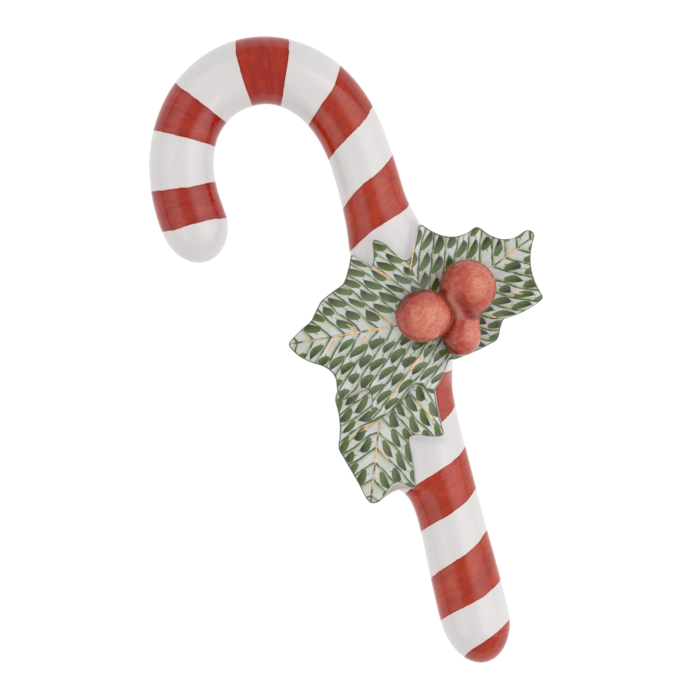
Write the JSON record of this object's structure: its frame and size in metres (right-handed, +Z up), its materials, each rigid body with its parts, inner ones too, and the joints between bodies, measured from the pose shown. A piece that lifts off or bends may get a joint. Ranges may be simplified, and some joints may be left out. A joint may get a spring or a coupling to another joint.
{
  "type": "porcelain candy cane ornament",
  "caption": "Glazed porcelain candy cane lying flat, its white shaft banded in red, with painted holly leaves and round berries laid across it.",
  "frame": {"origin": "on the table, under the middle of the ornament's box", "axes": "+Y along the straight shaft from the foot towards the hook, +X to the side away from the hook, +Z up from the table through the leaves and berries"},
  "size_m": [0.0724, 0.1326, 0.0231],
  "materials": {
    "cane": "clear glossy glaze over white porcelain, with painted red bands",
    "leaf": "clear glossy glaze over a pale green wash, with dark green brush strokes and gold lines",
    "berry": "clear glossy glaze over fine salmon red brush strokes"
  },
  "bodies": {
    "root": {"cane": "cane", "leaf_left": "leaf", "leaf_right": "leaf", "leaf_lower": "leaf", "berry_left": "berry", "berry_right": "berry", "berry_small": "berry"}
  },
  "joints": []
}
